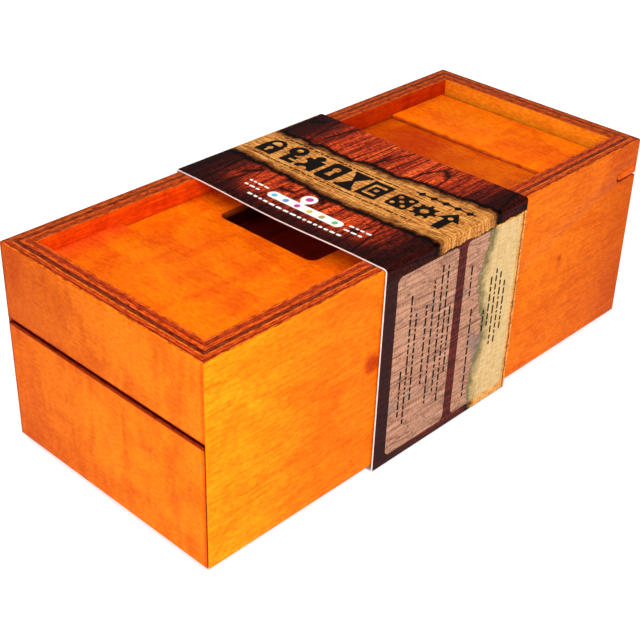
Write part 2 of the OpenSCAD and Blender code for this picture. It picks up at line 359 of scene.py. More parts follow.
@dataclass
class Look:
    """How one board's wood looks."""
    thick: int                  # the axis across the board
    grain: int                  # the axis along its grain
    outer: tuple                # stain of the outer face
    inner: tuple                # stain of the inner face
    outward: int = 1            # which way the outer face looks along thick
    layers: bool = True         # whether the edges show the plywood's layers
    streaks: float = 1.0        # fine streaks, broad clouds and curl across the grain
    cloud: float = 0.5
    curly: float = 0.3
    fades: tuple = ()           # (axis, start, end, colour): a tint that grows along an axis
    inner_fades: tuple = ()     # the same, only on the inner face
    spots: tuple = ()           # (centre, radius, colour)
    calm: float = 0.15          # how near the layers' colours are to their mean
    edge_tint: tuple = WHITE
    edge_shade: tuple = (0.55, 0.42, 0.40)      # tint of an edge without layers


def solid(thick, grain, outer, inner, **more):
    """The look of a board whose edges show no layers."""
    return Look(thick, grain, outer, inner, layers=False, **more)


# painted shade: inner faces turn dark below the top panel, where they lie in shadow inside the box
PAINTED_SHADE_BELOW_TOP = (Z, 61.0, 60.0, (0.20, 0.12, 0.15))
AGED = (0.80, 0.85, 1.0)
LOOKS = {
    "side_near": Look(
        Y, X, PAINTED_LIT_YELLOW, RED, outward=-1, curly=0.15, calm=0.25, inner_fades=(PAINTED_SHADE_BELOW_TOP,),
        # painted light and shade: the near side is lighter and yellower at its near end, darker towards its
        # far end, and a little darker towards the bottom
        fades=(
            (X, -98, -48, (0.97, 0.60, 0.8)), (X, 20, 98, (0.82, 0.68, 0.6)), (X, 76, 99, (0.84, 0.74, 0.8)),
            (Z, 30, 0, (1.0, 0.95, 0.95)),
        ),
        spots=(((-36, -44, 41), 4.5, (0.62, 0.30, 0.4)), ((58, -44, 40), 2.2, (0.7, 0.4, 0.5))),
    ),
    "side_far": Look(
        Y, X, ORANGE, RED, edge_tint=AGED, calm=0.45,
        inner_fades=(PAINTED_SHADE_BELOW_TOP, (X, 20, 40, (0.62, 0.45, 0.6))),
    ),
    "end_near_upper": Look(
        X, Y, ORANGE, ORANGE, outward=-1, streaks=0.35, curly=0.45,
        # painted shade: darker towards the far side, and a dark line along the far corner, which is also the
        # mitre joint; darker towards the seam below, painted shade of the gap. The line at the near corner
        # is the mitre joint.
        fades=(
            (Y, -30, 44, (0.68, 0.48, 0.5)), (Y, -42.0, -43.6, (0.92, 0.55, 0.5)),
            (Y, 42.0, 43.7, (0.45, 0.28, 0.3)), (Z, 46.2, 45.3, (0.7, 0.42, 0.5)),
        ),
    ),
    "end_far_lower": Look(X, Y, ORANGE, PAINTED_LIT_YELLOW, inner_fades=(PAINTED_SHADE_BELOW_TOP,)),
    "end_far_upper": Look(X, Y, ORANGE, AMBER, edge_tint=AGED, calm=0.55),
    "cover_strip": solid(Z, Y, TOP, BROWN, streaks=0.4, fades=((Y, 24, 38, (1.0, 0.68, 8.0)),)),
    "slotted_panel": solid(
        Z, Y, TOP, BROWN, streaks=0.4, fades=((X, 22, 36, (0.68, 0.58, 1.2)),),
        spots=(((56, 17, 61), 18, (0.88, 0.60, 0.5)),),
    ),
    "panel_strip": solid(
        Z, Y, TOP, BROWN, streaks=0.5, fades=((X, 60, 90, (0.9, 0.95, 2.0)),), edge_shade=(0.95, 0.85, 0.9),
    ),
    "end_bar": solid(Z, Y, ORANGE, ORANGE, edge_shade=(0.92, 0.62, 0.8)),
    "drawer_front": Look(
        X, Y, ORANGE, ORANGE, outward=-1, streaks=0.35, curly=0.4, edge_tint=(0.40, 0.20, 0.4),
        # painted shade: darker towards the far side, and a dark line along the far corner, which is also the
        # mitre joint; the top edge darkened as painted shade of the seam gap. The line at the near corner is
        # the mitre joint.
        fades=(
            (Y, -10, 44, (0.82, 0.64, 0.7)), (Y, -42.0, -43.4, (0.92, 0.55, 0.5)),
            (Y, 42.0, 43.7, (0.45, 0.28, 0.3)), (Z, 42.75, 43.25, (0.36, 0.10, 0.3)),
        ),
    ),
    "floor_board": solid(Z, X, BROWN, BROWN, outward=-1),
    "divider_board": solid(Z, X, DEEP_RED, BROWN),
    "drawer_stop": solid(Z, Y, BROWN, BROWN, outward=-1),
    "bolt_rail_inner": solid(X, Y, BROWN, BROWN),
    "bolt_rail_outer": solid(X, Y, BROWN, BROWN),
    "bar_ledge": solid(X, Y, BROWN, BROWN),
    "panel_hook": solid(Z, X, BROWN, BROWN, outward=-1),
    "bolt_slider": solid(X, Y, ORANGE, ORANGE),
    "bolt_peg": solid(Z, Z, ORANGE, ORANGE),
    "drawer_side_near": solid(Y, X, ORANGE, BROWN, outward=-1),
    "drawer_side_far": solid(Y, X, ORANGE, BROWN),
    "drawer_back": solid(X, Y, BROWN, BROWN),
    "drawer_bottom": solid(Z, X, BROWN, BROWN),
    "drawer_hook": solid(Z, X, BROWN, BROWN),
}


def faded(net, colour, fades, point):
    for axis, start, end, last in fades:
        colour = net.stain(colour, WHITE, last, net.step(point[axis], start, end))
    return colour


def board_face(net, look, point, normal, noise):
    """The two stained faces, with their figure, pores, fades and spots; on some boards the fades are painted
    light and shade.
    """
    streaks = 0.5 * look.streaks
    figure = noise["fine"] * streaks + noise["figure"] * look.cloud + noise["curl"] * look.curly
    tone = net.step(figure / (streaks + look.cloud + look.curly), 0.38, 0.59)
    inner = faded(net, net.mix(*look.inner, tone), look.inner_fades, point)
    outer = net.mix(*look.outer, tone)
    face = net.mix(inner, outer, net.step(normal[look.thick] * look.outward, -0.3, 0.3))
    face = net.stain(face, PORE, WHITE, net.step(noise["pores"], 0.36, 0.52), PORE_STRENGTH)
    face = net.stain(face, *MOTTLE, net.step(noise["mottle"], 0.36, 0.62))
    face = faded(net, face, look.fades, point)
    for centre, radius, colour in look.spots:
        x, y, z = [(p - c) * (p - c) for p, c in zip(point, centre)]
        away = net.math("SQRT", x + y + z) + (noise["figure"] - 0.5) * radius
        face = net.stain(face, colour, WHITE, net.step(away, 0.2 * radius, radius))
    return face


def layered_edge(net, look, node, point):
    """The plywood's layers across an edge, in slightly wavy lines."""
    low, high = (corner[look.thick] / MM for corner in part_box(node))
    wobble = net.noise(*(p * PLY_WAVE for p in point), 3.0, 0.6) - 0.5
    depth = (point[look.thick] - low) / (high - low)
    if look.outward > 0:
        depth = 1.0 - depth
    return net.mix(net.ramp(depth + wobble * PLY_WOBBLE, PLIES), MEAN_PLY, look.calm)


def wood(node, look, seed):
    """Stained wood for one board."""
    net = Net("wood_" + node)
    point = net.place()
    normal = net.normal()
    along = point[look.grain]
    side, other_side = [point[axis] for axis in (X, Y, Z) if axis != look.grain]
    noise = {}
    for key, (lengthwise, crosswise, detail, rough, bend) in GRAIN.items():
        place = (along * lengthwise + seed * SEED_STEP, side * crosswise, other_side * crosswise)
        noise[key] = net.noise(*place, detail, rough, bend)
    face = board_face(net, look, point, normal, noise)
    edge = layered_edge(net, look, node, point) if look.layers else net.tint(face, look.edge_shade)
    edge = net.stain(edge, DARK_SPECK[look.layers], LIGHT_SPECK, net.step(noise["speck"], 0.36, 0.6))
    edge = net.tint(edge, look.edge_tint)
    flat = net.step(abs(normal[look.thick]), 0.55, 0.9)
    net.set("Base Color", net.mix(edge, face, flat))
    net.set("Roughness", 0.36 + (1.0 - noise["fine"]) * 0.22)
    net.set("Specular IOR Level", SHEEN)
    net.bump(noise["fine"] * 0.6 + noise["pores"] * 0.4 + noise["speck"] * 0.25, WOOD_RELIEF)
    return net.material


def softened(node):
    """A copy of a CAD board whose sharp edges are sanded to a small round."""
    mesh = frame["nodes"][node].data.copy()
    bm = bmesh.new()
    bm.from_mesh(mesh)
    bmesh.ops.remove_doubles(bm, verts=bm.verts, dist=2e-6)
    bmesh.ops.dissolve_limit(bm, angle_limit=math.radians(0.4), verts=bm.verts, edges=bm.edges)
    bmesh.ops.recalc_face_normals(bm, faces=bm.faces)
    bm.to_mesh(mesh)
    bm.free()
    piece = bpy.data.objects.new("wood_" + node, mesh)
    bpy.context.scene.collection.objects.link(piece)
    bevel = piece.modifiers.new("sanded", "BEVEL")
    bevel.width = SANDED * MM
    bevel.segments = 2
    bevel.limit_method = "ANGLE"
    bevel.angle_limit = math.radians(35)
    bpy.context.view_layer.update()
    done = bpy.data.meshes.new_from_object(piece.evaluated_get(bpy.context.evaluated_depsgraph_get()))
    piece.modifiers.clear()
    piece.data = done
    done.polygons.foreach_set("use_smooth", [True] * len(done.polygons))
    done.set_sharp_from_angle(angle=math.radians(32))
    return piece


def add_boards():
    body_of = {n: b for b, members in frame["record"]["behaviour"]["bodies"].items() for n in members}
    for seed, (node, look) in enumerate(LOOKS.items()):
        piece = softened(node)
        piece.data.materials.clear()
        piece.data.materials.append(wood(node, look, seed))
        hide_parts(node)
        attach(piece, body_of[node])


# ---------------------------------------------------------------- the folded card

CARD_T = 0.46          # thickness of the card
PROUD = 0.04           # how far the card's face stays inside the CAD sleeve's
FOLD_R = 1.1           # outer radius of a fold
RIM = 9.0              # how far in from the card's sides the box's rim holds its top up
SAG = 0.75             # how far the top dips into the box's recess at its free edges
SAG_SHARE = 0.45       # how much of that it dips halfway along
LEAN = 1.6             # how far the card's top leans along the box, over its bottom
LEAN_PIVOT = 0.6       # the share of the height that stays in place

sleeve_low, sleeve_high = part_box("card_sleeve")
SLEEVE_X = sleeve_low.x / MM
SLEEVE_L = (sleeve_high.x - sleeve_low.x) / MM
SHEET_W = (sleeve_high.y - sleeve_low.y) / MM - 2 * PROUD
SHEET_H = (sleeve_high.z - sleeve_low.z) / MM - 2 * PROUD
TOP_RUN = SHEET_W - 2 * FOLD_R
SIDE_RUN = SHEET_H - 2 * FOLD_R
BEND = FOLD_R * math.pi / 2
NEAR_FOLD = TOP_RUN + BEND / 2                  # measured from the far end of the flat top
ROUND = 2 * (TOP_RUN + SIDE_RUN) + 4 * BEND

FLAT_STEPS = 14        # rows of points along each flat of the card
BEND_STEPS = 8         # and round each bend
COLUMN_STEPS = 12      # and along the box
COLUMNS = [SLEEVE_L * i / COLUMN_STEPS for i in range(COLUMN_STEPS + 1)]
TOUCH = 1e-4           # points nearer than this are the same


def profile(v):
    """(y, z) and the outward direction at a distance v round the card, from the far end of the flat top."""
    half_w, top = SHEET_W / 2, SHEET_H + PROUD
    corners = [
        (-half_w + FOLD_R, top - FOLD_R, 90), (-half_w + FOLD_R, PROUD + FOLD_R, 180),
        (half_w - FOLD_R, PROUD + FOLD_R, 270), (half_w - FOLD_R, top - FOLD_R, 0),
    ]
    starts = [
        (half_w - FOLD_R, top), (-half_w, top - FOLD_R),
        (-half_w + FOLD_R, PROUD), (half_w, PROUD + FOLD_R),
    ]
    ways = [(-1, 0), (0, -1), (1, 0), (0, 1)]
    outs = [(0, 1), (-1, 0), (0, -1), (1, 0)]
    runs = [TOP_RUN, SIDE_RUN, TOP_RUN, SIDE_RUN]
    v = v % ROUND
    for i in range(4):
        if v <= runs[i]:
            (y, z), (dy, dz) = starts[i], ways[i]
            return y + dy * v, z + dz * v, outs[i]
        v -= runs[i]
        if v <= BEND:
            cy, cz, turn = corners[i]
            a = math.radians(turn + 90 * v / BEND)
            return cy + FOLD_R * math.cos(a), cz + FOLD_R * math.sin(a), (math.cos(a), math.sin(a))
        v -= BEND
    raise ValueError(v)


def sag_at(u, v):
    """How far the flat top dips: most at the free edges, none over the box's rim."""
    across = (v - RIM) / (TOP_RUN - 2 * RIM)
    if v > TOP_RUN or not 0 < across < 1:
        return 0.0
    ends = abs(2 * u / SLEEVE_L - 1)
    return SAG * (SAG_SHARE + (1 - SAG_SHARE) * ends ** 2) * math.sin(math.pi * across) ** 2


def on_card(u, v, depth=0.0):
    """The point at u along the box and v round the card, depth under its printed face."""
    y, z, (ny, nz) = profile(v)
    lean = LEAN * (z / SHEET_H - LEAN_PIVOT)
    z -= sag_at(u, v)
    return Vector((SLEEVE_X + u + lean, y - ny * depth, z - nz * depth)) * MM


# ---------------------------------------------------------------- the printed shapes
# Each is ("add" or "cut", outline). An outline is (along the box, round the card) points.

def rect(u0, v0, u1, v1):
    return [(u0, v0), (u1, v0), (u1, v1), (u0, v1)]


def disc(u, v, r, count=20):
    turns = [2 * math.pi * i / count for i in range(count)]
    return [(u + r * math.cos(a), v + r * math.sin(a)) for a in turns]


def rounded(u0, v0, u1, v1, r, count=6):
    points = []
    corners = ((u1 - r, v1 - r, 0), (u0 + r, v1 - r, 90), (u0 + r, v0 + r, 180), (u1 - r, v0 + r, 270))
    for cu, cv, start in corners:
        for i in range(count + 1):
            a = math.radians(start + 90 * i / count)
            points.append((cu + r * math.cos(a), cv + r * math.sin(a)))
    return points


def diamond(u, v, r):
    return [(u + r, v), (u, v + r), (u - r, v), (u, v - r)]


def gear(cu, cv, r, teeth=8):
    parts = [("add", disc(cu, cv, r * 0.74, 24))]
    for i in range(teeth):
        a = 2 * math.pi * i / teeth
        ca, sa = math.cos(a), math.sin(a)
        corners = [(r * 0.6, -r * 0.17), (r, -r * 0.12), (r, r * 0.12), (r * 0.6, r * 0.17)]
        parts.append(("add", [(cu + x * ca - y * sa, cv + x * sa + y * ca) for x, y in corners]))
    parts.append(("cut", disc(cu, cv, r * 0.32)))
    return parts


# Pictograms in a cell 8 wide (round the card) and 12 high (along the box), from left to right
PADLOCK = [
    ("add", disc(7.2, 4, 3.5)), ("cut", disc(7.2, 4, 1.9)), ("add", rect(0, 0.2, 6.6, 7.8)),
    ("cut", disc(3.9, 4, 1.1, 12)), ("cut", rect(1.4, 3.55, 3.9, 4.45)),
]
KEY = [
    ("add", disc(8.7, 4, 3.4)), ("cut", disc(9.2, 4, 1.2, 12)), ("add", rect(0, 2.7, 6.6, 5.2)),
    ("add", rect(0.2, 5.1, 2.2, 8.2)), ("add", rect(3.2, 5.1, 5.0, 7.4)),
]
JIGSAW_PIECE = [
    ("add", rect(0.4, 0.3, 8.4, 7.7)), ("add", disc(9.7, 4, 1.9, 16)), ("cut", disc(4.4, 0.6, 1.7, 16)),
    ("cut", disc(0.6, 4, 1.5, 16)),
]
KEYHOLE_PLATE = [
    ("add", rounded(0, 0.3, 12, 7.7, 1.4)), ("cut", disc(7.8, 4, 1.45, 16)),
    ("cut", [(7.2, 3.5), (7.2, 4.5), (3.0, 5.2), (3.0, 2.8)]),
]
HOURGLASS = [
    ("add", rect(10.4, 0.2, 12, 7.8)), ("add", rect(0, 0.2, 1.6, 7.8)),
    ("add", [(10.5, 1.0), (10.5, 7.0), (5.6, 4.4), (5.6, 3.6)]),
    ("add", [(1.5, 1.0), (1.5, 7.0), (6.4, 4.4), (6.4, 3.6)]),
]
NESTED_SQUARES = [
    ("add", rect(0.6, 0, 11.4, 8.4)), ("cut", rect(2.4, 1.7, 9.6, 6.8)), ("add", rect(3.6, 2.7, 8.4, 8.4)),
    ("cut", rect(5.2, 4.0, 6.8, 5.6)),
]
ARROW = [
    ("add", [(12, 4), (6.6, 0), (6.6, 8)]), ("add", rect(0, 2.4, 6.8, 5.6)), ("cut", disc(7.9, 4, 0.9, 10)),
]
DIE_SPOTS = ((3.7, 2.0), (8.1, 2.0), (5.9, 4.1), (3.7, 6.2), (8.1, 6.2))
DIE = [("add", rounded(1.6, 0, 10.2, 8.2, 1.3))] + [("cut", disc(u, v, 0.85, 10)) for u, v in DIE_SPOTS]
GAP = []
PICTOGRAMS = [
    PADLOCK, KEY, JIGSAW_PIECE, KEYHOLE_PLATE, HOURGLASS, NESTED_SQUARES, GAP,
    DIE, gear(5.9, 4.2, 4.6), ARROW,
]
TITLE_U, TITLE_V = 29.2, 3.9          # where the first pictogram stands
CELL = 8.9                            # from one pictogram to the next
GAP_CELL = 2.4

# lines of plain bars: (place along the box, start round the card, length), on the near side from its fold
OVER_TITLE = (41.9, 5.5, 51)
UNDER_TITLE = (27.2, 6.0, 68)
LEFT_LINES = (
    (9.4, 38, 17), (12.0, 13, 46), (14.6, 20, 31), (19.2, 19, 30),
    (22.2, 12, 44), (25.6, 8, 46), (28.2, 9, 50), (30.6, 24, 24),
)
RIGHT_LINES = (
    (40.0, 14, 12), (42.0, 30, 33), (48.6, 33, 8), (51.0, 22, 18),
    (53.4, 20, 28), (55.8, 22, 27), (58.2, 26, 19),
)
SCALE_LABELS = ((11.6, 20.6, 8.6), (8.8, 21.2, 7.6), (11.6, 63.4, 8.8), (8.8, 63.6, 8.2))
SCALE_CAPTION = (5.0, 26.5, 40)
PRINT_SEED = 11

ORNAMENT_U = 43.75                    # a thin line with five diamonds on it
ORNAMENT = (62.4, 86.0)
DIAMONDS = (64.8, 69.5, 74.2, 78.9, 83.6)

SCALE_U = 10.3                        # middle of the white scale's row of dots
SCALE_DOTS = (33.4, 38.3, 43.2, 48.4, 53.6, 59.0)
MARKER_V = 43.2                       # the dot that the scale's marker points at

# pale panels on the near side (from its fold) and one on the far side: (u0, v0, u1, v1)
NEAR_PANELS = ((5.4, 4.6, 33.0, 67.2), (37.0, 4.6, 63.6, 67.2))
FAR_PANEL = (10.0, 16, 56.0, 55)
PANEL_R = 2.0


def moved(parts, du, dv):
    return [(way, [(u + du, v + dv) for u, v in outline]) for way, outline in parts]


def bars(line, height, rng, longest=3.4):
    """A row of plain bars along +v with gaps, as a placeholder for a line of print."""
    u, v, length = line
    parts = []
    end = v + length
    while v < end - 1:
        width = min(rng.uniform(height * 1.1, longest), end - v)
        parts.append(("add", rounded(u, v, u + height, v + width, height * 0.4, 3)))
        v += width + height * 0.75
    return parts


def veil_shapes():
    parts = [("add", rounded(*panel, PANEL_R)) for panel in NEAR_PANELS]
    far_fold = NEAR_FOLD + SHEET_H + SHEET_W
    return moved(parts, 0, NEAR_FOLD) + moved([("add", rounded(*FAR_PANEL, PANEL_R))], 0, far_fold)


def ink_shapes(rng):
    parts = []
    v = TITLE_V
    for pictogram in PICTOGRAMS:
        parts += moved(pictogram, TITLE_U, v)
        v += CELL if pictogram else GAP_CELL
    parts += bars(OVER_TITLE, 0.7, rng)
    parts += bars(UNDER_TITLE, 0.6, rng)
    parts.append(("add", rounded(ORNAMENT_U - 0.35, ORNAMENT[0], ORNAMENT_U + 0.35, ORNAMENT[1], 0.3, 3)))
    parts += [("add", diamond(ORNAMENT_U, v, 1.5)) for v in DIAMONDS]
    for line in LEFT_LINES + RIGHT_LINES:
        parts += moved(bars(line, 0.8, rng), 0, NEAR_FOLD)
    return parts


def white_shapes(rng):
    """A white scale with a round marker over it, and the bars round it."""
    marker_u = SCALE_U + 5.3
    parts = [
        ("add", rounded(SCALE_U - 1.9, 31, SCALE_U + 1.9, 62, 1.85)),
        ("add", disc(marker_u, MARKER_V, 2.75, 24)),
        ("add", [(15.0, MARKER_V - 2.6), (15.0, MARKER_V + 2.6), (11.0, MARKER_V)]),
    ]
    for line in SCALE_LABELS:
        parts += bars(line, 0.85, rng, 2.4)
    return parts + bars(SCALE_CAPTION, 0.95, rng, 2.6)


def dot_shapes():
    parts = [("add", disc(SCALE_U, v, 1.05, 14)) for v in SCALE_DOTS]
    return parts + [("add", disc(SCALE_U + 5.5, MARKER_V, 1.3, 16))]


def print_regions():
    """{material name: its shapes}, in the order that they are printed."""
    rng = random.Random(PRINT_SEED)
    return {"veil": veil_shapes(), "ink": ink_shapes(rng), "white": white_shapes(rng), "dots": dot_shapes()}


# ---------------------------------------------------------------- the printed colours

WRAP = 4.0             # how far the art on top runs down over the folds
RAGGED = 3.0           # and how unevenly it ends
TEAR_U = 46.5          # where the torn sheet on the near side starts
PAPER_RELIEF = 0.006
EDGE_RED_U = 64.9      # thin dark streaks along the torn sheet's outer edge

CHAR = (0.02, 0.02, 0.02)
PLANK_RAMP = [
    (0.0, (0.007, 0.002, 0.002)), (0.22, (0.07, 0.007, 0.004)),
    (0.5, (0.42, 0.035, 0.008)), (0.8, (0.80, 0.085, 0.014)), (1.0, (0.95, 0.19, 0.035)),
]
OLD_BOARD_RAMP = [(0.0, (0.13, 0.032, 0.008)), (0.4, (0.52, 0.175, 0.028)), (1.0, (0.90, 0.46, 0.125))]
SIDE_PLANK_RAMP = [(0.0, (0.016, 0.007, 0.007)), (0.5, (0.085, 0.014, 0.012)), (1.0, (0.22, 0.028, 0.016))]
TORN_SHEET_RAMP = [(0.0, (0.33, 0.10, 0.02)), (0.5, (0.78, 0.33, 0.07)), (1.0, (0.95, 0.52, 0.16))]
PAPER_RAMP = [(0.0, (0.22, 0.105, 0.07)), (0.45, (0.46, 0.215, 0.13)), (1.0, (0.62, 0.33, 0.21))]
PAPER_BLOTCH = (0.22, 0.18, 0.17)
CREAM_RAMP = [(0.0, (0.52, 0.30, 0.12)), (0.5, (0.68, 0.46, 0.20)), (1.0, (0.78, 0.57, 0.29))]
DOT_RAMP = [
    (0.05, (0.10, 0.50, 0.72)), (0.24, (0.09, 0.06, 0.30)), (0.30, (0.55, 0.02, 0.28)),
    (0.46, (0.55, 0.02, 0.28)), (0.55, (0.72, 0.66, 0.05)), (0.72, (0.72, 0.10, 0.06)),
    (0.92, (0.10, 0.50, 0.12)),
]
BLACK_INK = ((0.005, 0.003, 0.002), (0.20, 0.08, 0.02))        # fresh, and worn
WHITE_INK = ((0.86, 0.84, 0.78), (0.62, 0.5, 0.42))
CORE = ((0.99, 0.99, 0.98), (0.92, 0.91, 0.89))                # light, and dark
BARE = ((0.78, 0.75, 0.70), (0.66, 0.62, 0.57))


class Artwork:
    """The pictures printed on the card, from the noises that they share."""

    def __init__(self, net):
        self.net = net
        self.u, self.v = u, v = net.flat_place()
        self.rough = self.noise(0.35, 0.35, 0.0, 4.0, 0.6)
        self.streak = self.noise(0.05, 1.6, 0.0, 5.0, 0.65, 0.3)
        self.weave = self.noise(2.2, 0.5, 3.0, 2.0, 0.5)
        self.grain = self.noise(1.5, 0.09, 1.0, 5.0, 0.65, 0.2)
        self.lines = self.noise(0.3, 2.4, 6.0, 2.0, 0.5)
        self.split = net.cracks(v * 0.55, u * 0.10 + self.streak, 4.0)
        self.down = v - NEAR_FOLD
        self.torn = WRAP + (self.rough - 0.5) * RAGGED
        self.tear = u - (TEAR_U + 2.0 * net.wave(self.down, 38.0, 1.0) + (self.rough - 0.5) * 9.0)
        foot = net.step(self.down, SHEET_H - 1.2, SHEET_H - 0.8, 1.0, 0.0)
        self.near_side = net.step(self.down - self.torn, 0.0, 0.3) * foot

    def noise(self, along, round_it, layer, detail, rough=0.55, bend=0.0):
        """Noise with that many waves per mm along the box and round the card."""
        return self.net.noise(self.u * along, self.v * round_it, layer, detail, rough, bend)

    def planks(self):
        """Dark red planks that run along the box, brightest at the middle of the top."""
        net, u, v = self.net, self.u, self.v
        plank = net.noise(v * 0.16, 2.0, 0.0, 1.0, 0.5)
        bright = net.step(plank * 0.5 + self.streak * 0.5, 0.34, 0.62)
        middle = net.step(abs(v - 45.0), 16.0, 44.0, 1.0, 0.0) * net.step(u, 0.5, 13.0)
        bottom = NEAR_FOLD + SHEET_H
        middle = net.higher(middle, net.step(v, bottom, bottom + 2, 0.0, 0.4))
        colour = net.ramp(bright * (0.14 + 0.86 * middle), PLANK_RAMP)
        colour = net.stain(colour, (0.35, 0.25, 0.25), (1.1, 1.05, 1.05), net.step(self.weave, 0.38, 0.56))
        gaps = net.cracks(v * 0.13, u * 0.012, 0.0)
        whole = net.step(gaps, 0.0, 0.028) * net.step(self.split, 0.0, 0.06, 0.35, 1.0)
        return net.stain(colour, (0.05, 0.03, 0.03), WHITE, whole)

    def inside_strip(self):
        """How far a point is inside the strip of old board, which has scalloped edges."""
        net, u, v = self.net, self.u, self.v
        jag = (self.rough - 0.5) * 3.6 + (self.noise(1.1, 1.1, 7.0, 4.0, 0.7) - 0.5) * 2.4
        bays_high = abs(net.noise(v * 0.050, 3.0, 0.0, 2.0) - 0.5)
        bays_low = abs(net.noise(v * 0.045, 9.0, 0.0, 2.0) - 0.5)
        high = 45.4 + v * 0.075 - bays_high * 12.0 + jag
        low = 21.2 + bays_low * 10.0 + net.wave(v, 88.0, 0.9) + jag
        return net.lower(high - u, u - low)

    def old_board(self, within):
        """The strip's wood: rings along its outline, burnt at the edges."""
        net = self.net
        rings = net.wave(within + self.grain * 5.0 + 0.4 * net.wave(self.v, 9.0), 1.7)
        tone = self.grain * 0.62 + self.lines * 0.3 + rings * 0.045
        colour = net.ramp(net.step(tone, 0.30, 0.64), OLD_BOARD_RAMP)
        colour = net.stain(colour, (0.16, 0.07, 0.03), WHITE, net.step(within, 0.6, 4.5))
        return net.stain(colour, (0.04, 0.03, 0.03), WHITE, net.step(within, 0.3, 1.2))

    def top(self):
        """The planks with the strip over them, which ends just past the folds."""
        net = self.net
        within = self.inside_strip()
        wrapped = net.higher(NEAR_FOLD + self.torn - self.v, self.v - ROUND + self.torn)
        over = net.lower(wrapped, within)
        planks = net.stain(self.planks(), WHITE, CHAR, net.step(over, -2.0, -0.5))
        return net.mix(planks, self.old_board(within), net.step(over, -0.12, 0.12))

    def side(self):
        """The near side: darker planks, and a torn sheet over their far part."""
        net, u = self.net, self.u
        red = net.step(self.streak * 0.6 + self.weave * 0.4, 0.36, 0.66)
        planks = net.ramp(red * net.step(u, 2.0, 30.0, 0.25, 1.0), SIDE_PLANK_RAMP)
        sheet = net.ramp(net.step(self.lines * 0.6 + self.grain * 0.4, 0.34, 0.66), TORN_SHEET_RAMP)
        colour = net.mix(planks, sheet, net.step(self.tear, -0.2, 0.2))
        colour = net.stain(colour, (0.12, 0.10, 0.10), WHITE, net.step(abs(self.tear), 0.3, 4.5))
        streaks = net.step(abs(u - EDGE_RED_U - (self.rough - 0.5) * 1.5), 0.0, 0.6)
        return net.stain(colour, (0.35, 0.08, 0.05), WHITE, streaks)

    def veiled(self):
        """What shows through the pale panels: worn paper, and the torn sheet as cream."""
        net = self.net
        paper = net.ramp(net.step(self.weave * 0.35 + self.streak * 0.65, 0.34, 0.64), PAPER_RAMP)
        blotch = net.step(self.noise(0.10, 0.07, 8.0, 3.0), 0.56, 0.74)
        paper = net.mix(paper, PAPER_BLOTCH, blotch * 0.7)
        paper = net.stain(paper, (0.50, 0.46, 0.46), WHITE, net.step(self.split, 0.0, 0.07))
        cream = net.ramp(net.step(self.lines * 0.5 + self.grain * 0.5, 0.3, 0.7), CREAM_RAMP)
        cream = net.stain(cream, (0.26, 0.30, 0.28), WHITE, net.step(self.tear, 0.0, 6.0))
        return net.mix(paper, cream, net.step(self.tear, -0.3, 0.3) * self.near_side)


def print_net(name, veiled):
    """The printed artwork. veiled is the same artwork under the pale panels."""
    net = Net(name)
    art = Artwork(net)
    net.set("Base Color", art.veiled() if veiled else net.mix(art.top(), art.side(), art.near_side))
    net.set("Roughness", 0.34 + art.rough * 0.16)
    net.set("Specular IOR Level", SHEEN)
    net.bump(art.noise(3.0, 3.0, 0.0, 3.0), PAPER_RELIEF)
    return net.material


def ink_net(name, fresh, worn):
    """Printing ink, with small worn specks."""
    net = Net(name)
    u, v = net.flat_place()
    specks = net.step(net.noise(u * 1.7, v * 1.7, 5.0, 4.0, 0.7), 0.66, 0.72)
    net.set("Base Color", net.mix(fresh, worn, specks))
    net.set("Roughness", 0.34 + specks * 0.2)
    net.set("Specular IOR Level", SHEEN)
    return net.material


def dots_net(name):
    """Round dots whose colour changes along the scale."""
    net = Net(name)
    u, v = net.flat_place()
    hues = net.ramp(net.step(v, 31.0, 62.0), DOT_RAMP)
    net.set("Base Color", net.stain(hues, (0.9, 0.9, 0.9), WHITE, net.noise(u * 3.0, v * 3.0, 9.0, 2.0)))
    net.set("Roughness", 0.4)
    return net.material


def fibre_net(name, light, dark):
    """Bare card: pale, with faint fibres."""
    net = Net(name)
    x, y, z = net.place()
    fibre = net.noise(x * 2.0, y * 6.0, z * 6.0, 4.0, 0.6)
    net.set("Base Color", net.mix(dark, light, net.step(fibre, 0.3, 0.6)))
    net.set("Roughness", 0.8)
    net.set("Specular IOR Level", 0.2)
    net.bump(fibre, 0.02)
    return net.material


def card_materials():
    """{region: its material}, in the order of the card's material slots."""
    return {
        "art": print_net("card_art", False),
        "veil": print_net("card_veil", True),
        "ink": ink_net("card_ink", *BLACK_INK),
        "white": ink_net("card_white", *WHITE_INK),
        "dots": dots_net("card_dots"),
        "core": fibre_net("card_core", *CORE),
        "inner": fibre_net("card_inner", *BARE),
    }


# ---------------------------------------------------------------- the card's mesh

